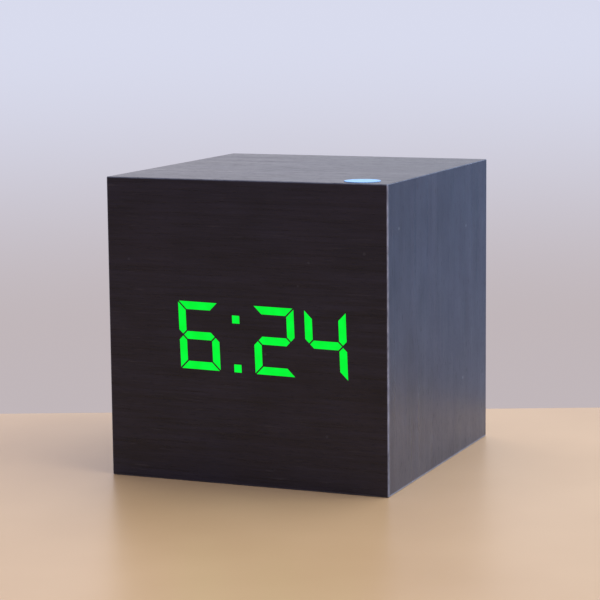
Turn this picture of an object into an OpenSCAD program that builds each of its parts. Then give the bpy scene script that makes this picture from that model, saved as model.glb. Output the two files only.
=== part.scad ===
// Cube alarm clock: a box of thin fibreboard wrapped in dark wood-grain film, with a
// seven-segment display that shines through the front film, three buttons and a power
// socket on the back, and a hinged battery door underneath.
// Millimetres, +Z up. The origin is the centre of the base and the display faces -Y.

/* [Case] */
// Width of the case, side to side
case_w = 61; // [60.5:0.5:66]
// Depth of the case, front to back
case_d = 63; // [62.5:0.5:68]
// Height of the case
case_h = 62; // [58:0.5:68]
// Thickness of the fibreboard walls
board_t = 3; // [2.6:0.1:3.2]
// Thickness of the wood-grain film
film_t = 0.3; // [0.2:0.05:0.4]
// Diameter of the round sticker on the top
sticker_d = 7.2; // [5:0.2:10]

/* [Display] */
// Hour that is lit; its tens digit stays dark below 10
shown_hour = 6; // [1:1:12]
// Minute that is lit
shown_minute = 24; // [0:1:59]
// Height of a digit
digit_h = 13.8; // [12.6:0.2:14.4]
// Width of a digit
digit_w = 8.8; // [8:0.1:8.8]
// Width of one segment
stroke = 1.6; // [1.4:0.1:1.8]
// Gap between neighbouring segments
segment_gap = 0.3; // [0.2:0.05:0.4]
// Backward lean of the digits' upright strokes, in degrees
digit_lean = 2; // [0:0.5:2.5]
// Fall of the row of digits towards the right, in degrees
row_slope = 1; // [0:0.5:1.5]
// Sideways place of the colon on the front
display_x = -1.9; // [-1.9:0.1:0]
// Height of the middle of the digits above the base
display_z = 30.1; // [29:0.1:33]

/* [Buttons] */
// Diameter of a button cap
button_d = 5.5; // [4.5:0.1:5.8]
// Distance between neighbouring buttons
button_pitch = 9; // [8.2:0.1:9.2]
// How far a button can be pressed
button_travel = 0.5; // [0.3:0.05:0.6]

/* [Battery bay] */
// Diameter of a cell
cell_d = 10.5; // [10.1:0.1:10.5]
// Length of a cell over its terminal
cell_l = 44.5; // [44:0.1:44.6]
// Thickness of the battery door
door_t = 1.6; // [1.4:0.1:1.6]

/* [Hidden] */
$fn = 48;

// Case: the faces of the boards, from the outside in
half_w = case_w / 2;
half_d = case_d / 2;
skin_x = half_w - film_t;
inner_x = skin_x - board_t;
front_y = -half_d + film_t;
inner_front_y = front_y + board_t;
rear_y = half_d - film_t;
inner_rear_y = rear_y - board_t;
low_z = film_t;
inner_low_z = low_z + board_t;
high_z = case_h - film_t;
inner_high_z = high_z - board_t;
fit_gap = 0.1;

// Corner cleats and the screws that hold the rear board on them
cleat_side = 8;
cleat_l = 12;
rear_screw_x = inner_x - cleat_side / 2;
rear_screw_z = [inner_low_z + cleat_side / 2, inner_high_z - cleat_side / 2];

// Top sticker
sticker_t = 0.12;
sticker_x = half_w - 7.1;
sticker_y = -half_d + 5;

// Display module: four digits and a colon in a moulded block behind the front film
digit_space = 2.3;
colon_space = 7.7;
upper_dot_z = 9.95;
digit_low_z = display_z - digit_h / 2;
digit_left = [
    display_x - colon_space / 2 - 2 * digit_w - digit_space,
    display_x - colon_space / 2 - digit_w,
    display_x + colon_space / 2,
    display_x + colon_space / 2 + digit_w + digit_space
];
module_w = 4 * digit_w + 2 * digit_space + colon_space + 1.2;
module_h = digit_h + 3.6;
module_depth = 6;
lens_depth = 1.2;
module_back_y = front_y + module_depth;
window_gap = 0.15;
SEGMENT_NAMES = "abcdefg";
SEGMENTS_OF = ["abcdef", "bc", "abged", "abgcd", "fgbc", "afgcd", "afgedc", "abc", "abcdefg", "abcdfg"];

// Display board, behind the module
pcb_t = 1.6;
display_pcb_x = inner_x - 0.6;
display_pcb_z = [16.4, 47];
display_pcb_back_y = module_back_y + pcb_t;
display_screws_at = [for (x = [-22, 22], z = [18.9, 44]) [x, z]];
chip_at = [-3, 36];
chip_size = [18, 7.5, 2.3];
chip_legs = 14;
chip_pitch = 1.27;
buzzer_at = [18.5, 36];
capacitor_at = [-19, 36];
crystal_x = 9.5;
header_z = 20;
battery_header_x = 4.5;
ribbon_x = 13;

// Control plate and control board at the back
plate_x = 20;
plate_z = [20, 42];
plate_flange = 2.6;
plate_face_y = half_d - 0.1;
plate_floor_y = half_d - 1.2;
plate_floor_t = 1.5;
plate_inner_y = plate_floor_y - plate_floor_t;
plate_flange_y = inner_rear_y - 1.6;
button_z = 35;
button_x = [-button_pitch, 0, button_pitch];
button_r = button_d / 2;
button_top_y = half_d - 0.25;
button_foot_y = plate_inner_y - 1;
control_pcb_y = [button_foot_y - 6.4, button_foot_y - 4.8];
control_pcb_x = 18;
control_pcb_z = [21.5, 40.5];
control_screws_at = [for (x = [-15.5, 15.5], z = [23.5, 38.5]) [x, z]];
plate_screws_at = [for (x = [-21.25, 21.25], z = [24, 38]) [x, z]];
switch_side = 6;
switch_h = 3.3;
switch_top_y = control_pcb_y[1] + switch_h;
plunger_r = 1.7;
collar_r = 2;
socket_z = 26.5;
microphone_x = -10.5;
thermistor_x = 10.3;
vent_z = [24.2, 25.8, 27.4, 29];
ribbon_header_z = 31;

// Battery tray, sunk into the bottom board
cell_r = cell_d / 2;
cell_pitch = 10.9;
cell_x = [-cell_pitch, 0, cell_pitch];
bay_x = 16.5;
bay_y = 24.2;
tray_wall = 1.2;
tray_x = bay_x + tray_wall;
tray_y = bay_y + tray_wall;
skirt_x = 19;
skirt_y = 26.4;
flange_x = 22.3;
flange_y = 28;
flange_z = [0.2, low_z + board_t / 2];
door_x = 17.5;
door_y = 25.05;
door_z = 0.5;
door_inner_z = door_z + door_t;
door_gap = 0.25;
hinge_y = -24;
hinge_z = 1.5;
hinge_r = 1.1;
peg_r = 0.7;
peg_x = 18.6;
cell_z = door_inner_z + 0.2 + 5.25;
bay_top_z = cell_z + 5.25 + 0.3;
tray_top_z = bay_top_z + tray_wall;
latch_x = 4.6;
tray_screw_x = 20.3;
tray_screws_at = [for (x = [-tray_screw_x, tray_screw_x], y = [-11, 11]) [x, y]];
batten_x = [17.8, 21.8];
batten_y = 14;
batten_h = 4;

// Battery contacts
contact_t = 0.4;
contact_w = 7.5;
contact_z = [3.6, 11.5];
dimple_h = 0.5;
cell_tip_y = bay_y - contact_t - dimple_h - 0.05;
cell_foot_y = cell_tip_y - cell_l;
spring_wire = 0.5;
spring_turns = 3;

// ---------------------------------------------------------------- drawing helpers

// A 2D outline in X and Z, made solid from y0 to y1
module slab_y(y0, y1) {
    translate([0, y1, 0]) rotate([90, 0, 0]) linear_extrude(y1 - y0) children();
}

// A 2D outline in Y and Z, made solid from x0 to x1
module slab_x(x0, x1) {
    translate([x0, 0, 0]) rotate([90, 0, 90]) linear_extrude(x1 - x0) children();
}

// A 2D outline in X and Y, made solid from z0 to z1
module slab_z(z0, z1) {
    translate([0, 0, z0]) linear_extrude(z1 - z0) children();
}

module block(x, y, z) {
    translate([x[0], y[0], z[0]]) cube([x[1] - x[0], y[1] - y[0], z[1] - z[0]]);
}

module rect(x, z) {
    translate([x[0], z[0]]) square([x[1] - x[0], z[1] - z[0]]);
}

// A rod along Y, centred on [x, z]
module rod_y(at, r, y0, y1) {
    translate([at[0], y0, at[1]]) rotate([-90, 0, 0]) cylinder(r = r, h = y1 - y0);
}

// A cone or rod along Y from radius r0 at y0 to radius r1 at y1
module cone_y(at, r0, r1, y0, y1) {
    translate([at[0], y0, at[1]]) rotate([-90, 0, 0]) cylinder(r1 = r0, r2 = r1, h = y1 - y0);
}

// A turned profile of [radius, height] points, its height along Y from y0
module turned_y(at, y0, profile) {
    translate([at[0], y0, at[1]]) rotate([-90, 0, 0]) rotate_extrude() polygon(profile);
}

// The crossed slots in a screw head that faces towards +Z, at the origin
module cross_recess(reach, depth) {
    for (a = [0, 90]) rotate([0, 0, a])
        translate([-reach, -0.22, -depth]) cube([2 * reach, 0.44, depth + 1]);
}

// A pan-head screw along Y: the head stands on y_seat and points to y_tip
module pan_screw_y(at, head_r, head_h, shank_r, y_seat, y_tip) {
    out = y_tip > y_seat ? -1 : 1;
    translate([at[0], y_seat, at[1]]) rotate([-90 * out, 0, 0]) difference() {
        union() {
            cylinder(r1 = head_r, r2 = head_r * 0.8, h = head_h);
            translate([0, 0, -abs(y_tip - y_seat)]) cylinder(r = shank_r, h = abs(y_tip - y_seat));
        }
        translate([0, 0, head_h]) cross_recess(head_r * 0.6, head_h * 0.6);
    }
}

function unit(v) = v / norm(v);
function mix(a, b, s) = a + (b - a) * s;

// A round tube along a path; across is a direction that the path never runs along
module tube(path, r, across, sides = 8) {
    n = len(path);
    ahead = [for (i = [0:n - 1]) unit(path[min(i + 1, n - 1)] - path[max(i - 1, 0)])];
    points = [for (i = [0:n - 1]) let (u = unit(cross(ahead[i], across)), v = cross(ahead[i], u))
        for (k = [0:sides - 1]) path[i] + r * (cos(360 * k / sides) * u + sin(360 * k / sides) * v)];
    walls = [for (i = [0:n - 2], k = [0:sides - 1])
        let (a = i * sides + k, b = i * sides + (k + 1) % sides) [a, a + sides, b + sides, b]];
    first = [for (k = [0:sides - 1]) k];
    last = [for (k = [0:sides - 1]) n * sides - 1 - k];
    polyhedron(points, concat([first], walls, [last]));
}

// A point on the smooth curve through p1 and p2, with p0 and p3 as its neighbours
function bend(p0, p1, p2, p3, s) = 0.5 * (2 * p1 + (p2 - p0) * s
    + (2 * p0 - 5 * p1 + 4 * p2 - p3) * s * s + (3 * p1 - p0 - 3 * p2 + p3) * s * s * s);

function smooth_path(p, steps) = [
    for (i = [0:len(p) - 2], j = [0:steps - 1])
        bend(p[max(i - 1, 0)], p[i], p[i + 1], p[min(i + 2, len(p) - 1)], j / steps),
    p[len(p) - 1]
];

// ---------------------------------------------------------------- case

FIBREBOARD = "#8a6a4a";
FILM = "#26242a";
BLACK_PLASTIC = "#1b1c1e";
STEEL = "#b9bcc0";
TIN = "#c9ccd0";
GOLD = "#c8a24a";
BOARD_GREEN = "#1f5a38";

// Outline, in X and Z, of a board of the sleeve: each corner is mitred
function top_outline() = [
    [-skin_x, high_z], [skin_x, high_z], [inner_x, inner_high_z], [-inner_x, inner_high_z]];
function bottom_outline() = [
    [-skin_x, low_z], [-inner_x, inner_low_z], [inner_x, inner_low_z], [skin_x, low_z]];

module front_board() {
    color(FIBREBOARD) difference() {
        intersection() {
            slab_z(low_z, high_z) polygon([
                [-skin_x, front_y], [skin_x, front_y],
                [inner_x, inner_front_y], [-inner_x, inner_front_y]]);
            slab_x(-skin_x, skin_x) polygon([
                [front_y, low_z], [inner_front_y, inner_low_z],
                [inner_front_y, inner_high_z], [front_y, high_z]]);
        }
        slab_y(front_y - 1, inner_front_y + 1) module_outline(window_gap);
        for (at = display_screws_at) rod_y(at, 0.95, front_y + 0.8, inner_front_y + 1);
    }
}

module top_board() {
    color(FIBREBOARD) intersection() {
        slab_y(front_y, half_d) polygon(top_outline());
        slab_x(-skin_x, skin_x) polygon([
            [front_y, high_z], [inner_front_y, inner_high_z], [half_d, inner_high_z], [half_d, high_z]]);
    }
}

module bottom_board() {
    color(FIBREBOARD) difference() {
        intersection() {
            slab_y(front_y, half_d) polygon(bottom_outline());
            slab_x(-skin_x, skin_x) polygon([
                [front_y, low_z], [half_d, low_z], [half_d, inner_low_z], [inner_front_y, inner_low_z]]);
        }
        tray_hole(skirt_x + window_gap, skirt_y + window_gap, [-1, inner_low_z + 1]);
        tray_hole(flange_x + window_gap, flange_y + window_gap, [-1, flange_z[1]]);
        for (at = tray_screws_at) translate([at[0], at[1], 0]) cylinder(r = 1, h = inner_low_z + 1);
    }
}

// A side board; side is -1 for the left and 1 for the right
module side_board(side) {
    color(FIBREBOARD) intersection() {
        slab_y(front_y, half_d) polygon([
            [side * skin_x, low_z], [side * inner_x, inner_low_z],
            [side * inner_x, inner_high_z], [side * skin_x, high_z]]);
        slab_z(low_z, high_z) polygon([
            [side * skin_x, front_y], [side * inner_x, inner_front_y],
            [side * inner_x, half_d], [side * skin_x, half_d]]);
    }
}

// The rear board sits inside the end of the sleeve, against the cleats
module rear_outline() {
    rect([-inner_x + fit_gap, inner_x - fit_gap], [inner_low_z + fit_gap, inner_high_z - fit_gap]);
}

module plate_opening() {
    rect([-plate_x, plate_x], plate_z);
}

module at_rear_screws() {
    for (x = [-rear_screw_x, rear_screw_x], z = rear_screw_z) translate([x, 0, z]) children();
}

module rear_board() {
    color(FIBREBOARD) difference() {
        slab_y(inner_rear_y, rear_y) difference() {
            rear_outline();
            plate_opening();
        }
        at_rear_screws() {
            rod_y([0, 0], 1.05, inner_rear_y - 1, half_d);
            cone_y([0, 0], 1.05, 2, rear_y - 0.75, rear_y + 0.3);
        }
        for (at = plate_screws_at) rod_y(at, 0.75, inner_rear_y - 1, inner_rear_y + 2.2);
    }
}

module front_film() {
    color(FILM) slab_y(-half_d, front_y) difference() {
        rect([-half_w, half_w], [0, case_h]);
        lit_outlines();
    }
}

// One sheet of film, wrapped round the four boards of the sleeve
module sleeve_film() {
    color(FILM) difference() {
        slab_y(front_y, half_d) difference() {
            rect([-half_w, half_w], [0, case_h]);
            rect([-skin_x, skin_x], [low_z, high_z]);
        }
        tray_hole(flange_x + window_gap, flange_y + window_gap, [-1, low_z + 1]);
    }
}

module rear_film() {
    color(FILM) slab_y(rear_y, half_d) difference() {
        rear_outline();
        plate_opening();
        for (x = [-rear_screw_x, rear_screw_x], z = rear_screw_z) translate([x, z]) circle(2.1);
    }
}

module top_sticker() {
    color("#9ccbea") translate([sticker_x, sticker_y, case_h]) cylinder(d = sticker_d, h = sticker_t);
}

module corner_cleats() {
    color("#b08a5e") for (side = [-1, 1], z = rear_screw_z) difference() {
        block(
            [side * rear_screw_x - cleat_side / 2, side * rear_screw_x + cleat_side / 2],
            [inner_rear_y - cleat_l, inner_rear_y], [z - cleat_side / 2, z + cleat_side / 2]);
        rod_y([side * rear_screw_x, z], 1, inner_rear_y - cleat_l + 2, inner_rear_y + 1);
    }
}

// Countersunk wood screws, their heads level with the rear film
module rear_screws() {
    color(STEEL) at_rear_screws() translate([0, half_d - 0.05, 0]) rotate([-90, 0, 0]) difference() {
        union() {
            translate([0, 0, -1.05]) cylinder(r1 = 0.95, r2 = 1.9, h = 1.05);
            translate([0, 0, -10.5]) cylinder(r = 0.95, h = 9.6);
            translate([0, 0, -11.6]) cylinder(r1 = 0.2, r2 = 0.95, h = 1.1);
        }
        cross_recess(1.1, 0.6);
    }
}

// ---------------------------------------------------------------- display

// The segments of one digit, from its lower left corner; corners are cut at 45 degrees
cut = segment_gap / sqrt(2);
middle = digit_h / 2;
TOP_BAR = [[cut, digit_h], [digit_w - cut, digit_h],
    [digit_w - stroke - cut, digit_h - stroke], [stroke + cut, digit_h - stroke]];
MIDDLE_BAR = [[stroke / 2 + cut, middle], [stroke + cut, middle + stroke / 2],
    [digit_w - stroke - cut, middle + stroke / 2], [digit_w - stroke / 2 - cut, middle],
    [digit_w - stroke - cut, middle - stroke / 2], [stroke + cut, middle - stroke / 2]];
LEFT_BAR = [[0, digit_h - cut], [stroke, digit_h - stroke - cut],
    [stroke, middle + stroke / 2 + cut], [stroke / 2, middle + cut], [0, middle + stroke / 2 + cut]];

function flip_x(p) = [for (i = [len(p) - 1:-1:0]) [digit_w - p[i][0], p[i][1]]];
function flip_z(p) = [for (i = [len(p) - 1:-1:0]) [p[i][0], digit_h - p[i][1]]];
function segment(name) =
    name == "a" ? TOP_BAR :
    name == "b" ? flip_x(LEFT_BAR) :
    name == "c" ? flip_x(flip_z(LEFT_BAR)) :
    name == "d" ? flip_z(TOP_BAR) :
    name == "e" ? flip_z(LEFT_BAR) :
    name == "f" ? LEFT_BAR : MIDDLE_BAR;

// Centre of a segment, and whether it lies level
function segment_centre(name) = let (p = segment(name)) [
    (min([for (q = p) q[0]]) + max([for (q = p) q[0]])) / 2,
    (min([for (q = p) q[1]]) + max([for (q = p) q[1]])) / 2];
function is_level(name) = name == "a" || name == "d" || name == "g";

// The digit in each place, with 10 for a dark one
function shown() = [
    shown_hour < 10 ? 10 : floor(shown_hour / 10), shown_hour % 10,
    floor(shown_minute / 10), shown_minute % 10];
function is_lit(place, name) = shown()[place] < 10 && len(search(name, SEGMENTS_OF[shown()[place]])) > 0;

// Place on the front of a point of the row of digits, which leans and falls a little
function on_front(x, z) = [
    x - tan(digit_lean) * (z - digit_h / 2),
    digit_low_z + z - tan(row_slope) * (x - display_x)];

module segment_outline(place, name) {
    polygon([for (p = segment(name)) on_front(digit_left[place] + p[0], p[1])]);
}

module colon_outlines() {
    half = stroke / 2;
    dot = [[-half, 0], [half, 0], [half, stroke], [-half, stroke]];
    for (z = [0, upper_dot_z]) polygon([for (p = dot) on_front(display_x + p[0], z + p[1])]);
}

module lit_outlines() {
    for (place = [0:3], name = SEGMENT_NAMES) if (is_lit(place, name)) segment_outline(place, name);
    colon_outlines();
}

module all_outlines() {
    for (place = [0:3], name = SEGMENT_NAMES) segment_outline(place, name);
    colon_outlines();
}

module module_outline(gap = 0) {
    rect([display_x - module_w / 2 - gap, display_x + module_w / 2 + gap],
        [display_z - module_h / 2 - gap, display_z + module_h / 2 + gap]);
}

// The parts of the film that the light comes through, one solid for each lit segment
module lit_segments() {
    color("#00ff3c") slab_y(-half_d, front_y) lit_outlines();
}

// Reflector block, with a straight cavity behind each segment
module display_housing() {
    color("#e8e8e4") slab_y(front_y, module_back_y) difference() {
        module_outline();
        all_outlines();
    }
}

module segment_lenses() {
    color("#f4f6ee") slab_y(front_y, front_y + lens_depth) all_outlines();
}

// One chip at the back of each cavity
module display_leds() {
    led = [1.5, 0.8];
    led_h = 0.6;
    color("#dff0c0") slab_y(module_back_y - led_h, module_back_y) {
        for (place = [0:3], name = SEGMENT_NAMES) {
            c = segment_centre(name);
            translate(on_front(digit_left[place] + c[0], c[1]))
                rotate(is_level(name) ? 0 : 90) square(led, center = true);
        }
        for (z = [0, upper_dot_z])
            translate(on_front(display_x, z + stroke / 2)) square([1.2, 0.8], center = true);
    }
}

module display_board() {
    color(BOARD_GREEN) slab_y(module_back_y, display_pcb_back_y) difference() {
        rect([-display_pcb_x, display_pcb_x], display_pcb_z);
        for (at = display_screws_at) translate(at) circle(1.1);
    }
}

module display_spacers() {
    color("#dcdcd6") for (at = display_screws_at) difference() {
        rod_y(at, 2, inner_front_y, module_back_y);
        rod_y(at, 1.1, inner_front_y - 1, module_back_y + 1);
    }
}

module display_screws() {
    color(STEEL) for (at = display_screws_at)
        pan_screw_y(at, 1.8, 1.2, 0.9, display_pcb_back_y, front_y + 1);
}

// Controller in a long small-outline package, with gull-wing legs along both sides
module clock_chip() {
    seat = display_pcb_back_y + 0.1;
    half_z = chip_size[1] / 2;
    leg = [[0, 0], [0.9, 0], [0.9, 0.15], [0.15, 0.15],
        [0.15, 1.2], [-0.75, 1.2], [-0.75, 1.05], [0, 1.05]];
    color("#202124") block(
        [chip_at[0] - chip_size[0] / 2, chip_at[0] + chip_size[0] / 2],
        [seat, seat + chip_size[2]], [chip_at[1] - half_z, chip_at[1] + half_z]);
    color(TIN) for (i = [0:chip_legs - 1], side = [-1, 1])
        translate([chip_at[0] + (i - (chip_legs - 1) / 2) * chip_pitch, display_pcb_back_y, chip_at[1]])
            slab_x(-0.2, 0.2) polygon([for (p = leg) [p[1], side * (half_z + 0.75 + p[0])]]);
}

// A row of small blocks on the back of the display board
module chip_row(xs, z, size) {
    for (x = xs) block([x - size[0] / 2, x + size[0] / 2],
        [display_pcb_back_y, display_pcb_back_y + size[2]], [z - size[1] / 2, z + size[1] / 2]);
}

module board_resistors() {
    color("#2b2c30") chip_row([-21:2.6:11], 27.6, [1.25, 2, 0.5]);
}

module digit_drivers() {
    color("#202124") chip_row([-20:5:-5], 22.5, [2.9, 1.3, 1]);
}

module timing_crystal() {
    color(TIN) {
        translate([crystal_x, display_pcb_back_y + 1.1, 33]) cylinder(r = 1, h = 6);
        for (x = [-0.5, 0.5])
            block([crystal_x + x - 0.15, crystal_x + x + 0.15],
                [display_pcb_back_y, display_pcb_back_y + 1.2], [32.4, 33]);
    }
}

module smoothing_capacitor() {
    color("#2a3350") turned_y(capacitor_at, display_pcb_back_y,
        [[0, 0], [3, 0], [3, 0.9], [2.75, 1.2], [3, 1.5], [3, 6.6], [2.6, 7], [0, 7]]);
}

module buzzer() {
    color("#18191b") turned_y(buzzer_at, display_pcb_back_y,
        [[0, 0], [4.5, 0], [4.5, 4.7], [4.2, 5], [0.9, 5], [0.9, 4], [0, 4]]);
}

// A white wire housing on a board, between y0 and y1
module header(x, z, w, y0, y1) {
    color("#efeee6") difference() {
        block([x - w / 2, x + w / 2], [y0, y1], [z - 2, z + 2]);
        block([x - w / 2 + 0.8, x + w / 2 - 0.8], [y0 - 1, y0 + 0.6], [z - 0.8, z + 0.8]);
    }
}

module battery_header() {
    header(battery_header_x, header_z, 5, display_pcb_back_y, display_pcb_back_y + 4.2);
}

module ribbon_headers() {
    header(ribbon_x, header_z, 6.6, display_pcb_back_y, display_pcb_back_y + 4.2);
    header(ribbon_x, ribbon_header_z, 6.6, control_pcb_y[0] - 4.2, control_pcb_y[0]);
}

// Four conductors side by side, from the display board to the control board
module control_ribbon() {
    y = [display_pcb_back_y + 4.2, control_pcb_y[0] - 4.2];
    steps = 24;
    line = [for (i = [0:steps]) let (s = i / steps, rise = (1 - cos(180 * s)) / 2)
        [mix(y[0], y[1], s), mix(header_z, ribbon_header_z, rise) - 1.5 * pow(sin(180 * s), 2)]];
    half_t = 0.5;
    edge = [for (i = [0:steps]) let (
        d = line[min(i + 1, steps)] - line[max(i - 1, 0)],
        n = i == 0 || i == steps ? [0, 1] : [-d[1], d[0]] / norm(d)) half_t * n];
    outline = concat([for (i = [0:steps]) line[i] + edge[i]], [for (i = [steps:-1:0]) line[i] - edge[i]]);
    color("#8f9296") for (i = [0:3])
        slab_x(ribbon_x + (i - 1.5) * 1.27 - 0.58, ribbon_x + (i - 1.5) * 1.27 + 0.58) polygon(outline);
}

// ---------------------------------------------------------------- rear controls

module control_plate() {
    x = plate_x - window_gap;
    z = [plate_z[0] + window_gap, plate_z[1] - window_gap];
    rim = 1.25;
    color(BLACK_PLASTIC) difference() {
        union() {
            difference() {
                union() {
                    block([-x, x], [plate_flange_y, plate_face_y], z);
                    block([-x - plate_flange, x + plate_flange], [plate_flange_y, inner_rear_y],
                        [z[0] - plate_flange, z[1] + plate_flange]);
                }
                block([-x + rim, x - rim], [plate_floor_y, half_d + 1], [z[0] + rim, z[1] - rim]);
                block([-x + 1.5, x - 1.5], [plate_flange_y - 1, plate_inner_y], [z[0] + 1.5, z[1] - 1.5]);
            }
            for (at = control_screws_at) rod_y(at, 2.2, control_pcb_y[1], plate_inner_y + 0.5);
        }
        for (at = control_screws_at) rod_y(at, 0.95, control_pcb_y[1] - 1, plate_inner_y - 0.8);
        for (at = plate_screws_at) rod_y(at, 0.8, plate_flange_y - 1, inner_rear_y + 1);
        for (bx = button_x) rod_y([bx, button_z], button_r + 0.25, plate_inner_y - 1, half_d);
        slab_y(plate_inner_y - 1, half_d) socket_outline(0.5);
        rod_y([microphone_x, socket_z], 0.75, plate_inner_y - 1, half_d);
        for (vz = vent_z) block([8, 12.6], [plate_inner_y - 1, half_d], [vz - 0.4, vz + 0.4]);
        slab_y(plate_floor_y - 0.25, half_d) button_marks();
    }
}

// Engraved over the buttons: a square for set, and triangles for up and down
module button_marks() {
    z = button_z + button_r + 1.5;
    half = 0.7;
    translate([button_x[0] - half, z - half]) square(2 * half);
    translate([button_x[1], z]) polygon([[-0.9, -half], [0.9, -half], [0, half]]);
    translate([button_x[2], z]) polygon([[-0.9, half], [0, -half], [0.9, half]]);
}

module plate_screws() {
    color(STEEL) for (at = plate_screws_at)
        pan_screw_y(at, 1.2, 1, 0.7, plate_flange_y, inner_rear_y + 2);
}

module control_board() {
    color(BOARD_GREEN) slab_y(control_pcb_y[0], control_pcb_y[1]) difference() {
        rect([-control_pcb_x, control_pcb_x], control_pcb_z);
        for (at = control_screws_at) translate(at) circle(1.1);
    }
}

module control_screws() {
    color(STEEL) for (at = control_screws_at)
        pan_screw_y(at, 1.8, 1.2, 0.9, control_pcb_y[0], plate_inner_y - 1.2);
}

module switch_square(x, side) {
    translate([x, button_z]) square(side, center = true);
}

module switch_bodies() {
    color("#151617") for (x = button_x) difference() {
        slab_y(control_pcb_y[1], switch_top_y) switch_square(x, switch_side);
        rod_y([x, button_z], 2.25, control_pcb_y[1] + 1.2, switch_top_y + 1);
    }
}

module switch_covers() {
    color(STEEL) for (x = button_x) slab_y(switch_top_y, switch_top_y + 0.2) difference() {
        switch_square(x, switch_side);
        translate([x, button_z]) circle(plunger_r + 0.15);
    }
}

// Snap domes, drawn at their pressed height
module switch_domes() {
    color(GOLD) for (x = button_x)
        turned_y([x, button_z], control_pcb_y[1] + 1.2,
            [[0, 0.15], [0, 0.25], [1.2, 0.2], [2, 0.1], [2, 0], [1.2, 0.1]]);
}

module button_cap(x) {
    h = button_top_y - button_foot_y;
    color(BLACK_PLASTIC) turned_y([x, button_z], button_foot_y, [
        [0, 0], [button_r + 0.9, 0], [button_r + 0.9, 0.9], [button_r, 0.9],
        [button_r, h - 0.4], [button_r - 0.12, h - 0.12], [button_r - 0.4, h], [1.6, h], [0, h - 0.2]]);
}

// The plunger's collar is caught under the switch cover
module plunger(x) {
    collar_y = [switch_top_y - 0.85, switch_top_y - 0.15];
    color("#3a3c40") {
        rod_y([x, button_z], plunger_r, collar_y[0], button_foot_y);
        rod_y([x, button_z], collar_r, collar_y[0], collar_y[1]);
    }
}

// Outline of the power socket: a slot with its two lower corners cut off
module socket_outline(grow = 0) {
    w = 3.75 + grow;
    h = 1.45 + grow;
    translate([0, socket_z]) polygon([
        [-w, h], [-w, -h + 1.1], [-w + 1, -h], [w - 1, -h], [w, -h + 1.1], [w, h]]);
}

module socket_shell() {
    color(STEEL) slab_y(control_pcb_y[1], plate_floor_y - 0.1) difference() {
        socket_outline();
        socket_outline(-0.3);
    }
}

// Insulator at the back of the socket, with the tongue that carries the contacts
module socket_tongue() {
    y = control_pcb_y[1];
    color("#101113") {
        slab_y(y, y + 1.6) socket_outline(-0.35);
        block([-2.6, 2.6], [y + 1.5, plate_floor_y - 0.8], [socket_z + 0.05, socket_z + 0.65]);
    }
}

module socket_contacts() {
    color(GOLD) for (i = [-2:2])
        block([i * 0.95 - 0.2, i * 0.95 + 0.2], [control_pcb_y[1] + 1.6, plate_floor_y - 1.1],
            [socket_z - 0.1, socket_z + 0.05]);
}

module thermistor() {
    bead_y = control_pcb_y[1] + 4;
    color("#25262a") translate([thermistor_x, bead_y, socket_z]) sphere(r = 1.3);
    color(TIN) for (x = [-0.6, 0.6]) rod_y([thermistor_x + x, socket_z], 0.2, control_pcb_y[1], bead_y);
}

module microphone() {
    y = control_pcb_y[1];
    color("#b8bbbf") turned_y([microphone_x, socket_z], y + 2.2,
        [[0, 0], [2.7, 0], [3, 0.3], [3, 2.5], [2.7, 2.7], [0.7, 2.7], [0.7, 2.3], [0, 2.3]]);
    color(TIN) for (x = [-1.27, 1.27]) rod_y([microphone_x + x, socket_z], 0.25, y, y + 2.3);
}

// ---------------------------------------------------------------- battery bay

module tray_hole(x, y, z) {
    block([-x, x], [-y, y], z);
}

module countersink(at) {
    translate([at[0], at[1], -1]) cylinder(r = 1.05, h = inner_low_z);
    translate([at[0], at[1], flange_z[0] - 0.1]) cylinder(r1 = 1.9, r2 = 1, h = 1);
}

module battery_tray() {
    color(BLACK_PLASTIC) {
        difference() {
            union() {
                tray_hole(tray_x, tray_y, [door_inner_z, tray_top_z]);
                tray_hole(skirt_x, skirt_y, [flange_z[0], inner_low_z]);
                tray_hole(flange_x, flange_y, flange_z);
            }
            tray_hole(bay_x, bay_y, [-1, bay_top_z]);
            tray_hole(door_x + door_gap, door_y + door_gap, [-1, door_inner_z + 0.05]);
            translate([-door_x - door_gap, hinge_y, hinge_z]) rotate([0, 90, 0])
                cylinder(r = hinge_r + 0.25, h = 2 * (door_x + door_gap));
            translate([-peg_x - 0.1, hinge_y, hinge_z]) rotate([0, 90, 0])
                cylinder(r = peg_r + 0.08, h = 2 * (peg_x + 0.1));
            // Pocket for the latch, and a scoop for the fingertip that works it
            block([-latch_x, latch_x], [bay_y - 0.1, door_y + 0.65],
                [door_inner_z - 0.1, inner_low_z - 0.1]);
            slab_z(-1, 1.1) for (x = [-3, 3]) {
                translate([x, door_y]) circle(2);
                translate([-3, door_y - 2]) square([6, 4]);
            }
            for (at = [[-cell_pitch, bay_y - 0.2], [cell_pitch, -bay_y + 0.2]])
                block([at[0] - 1.3, at[0] + 1.3], [at[1] - 0.4, at[1] + 0.4],
                    [bay_top_z - 1, tray_top_z + 1]);
            for (at = tray_screws_at) countersink(at);
        }
        // Ridges between the cells
        for (x = [-cell_pitch / 2, cell_pitch / 2]) translate([x, 0, 0])
            slab_y(-18, 18) polygon([[-1.2, bay_top_z + 0.2], [0, bay_top_z - 3], [1.2, bay_top_z + 0.2]]);
    }
}

module tray_battens() {
    color("#b08a5e") for (side = [-1, 1]) difference() {
        block([min(side * batten_x[0], side * batten_x[1]), max(side * batten_x[0], side * batten_x[1])],
            [-batten_y, batten_y], [inner_low_z, inner_low_z + batten_h]);
        for (y = [-11, 11])
            translate([side * tray_screw_x, y, 0]) cylinder(r = 0.95, h = inner_low_z + 3.4);
    }
}

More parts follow.
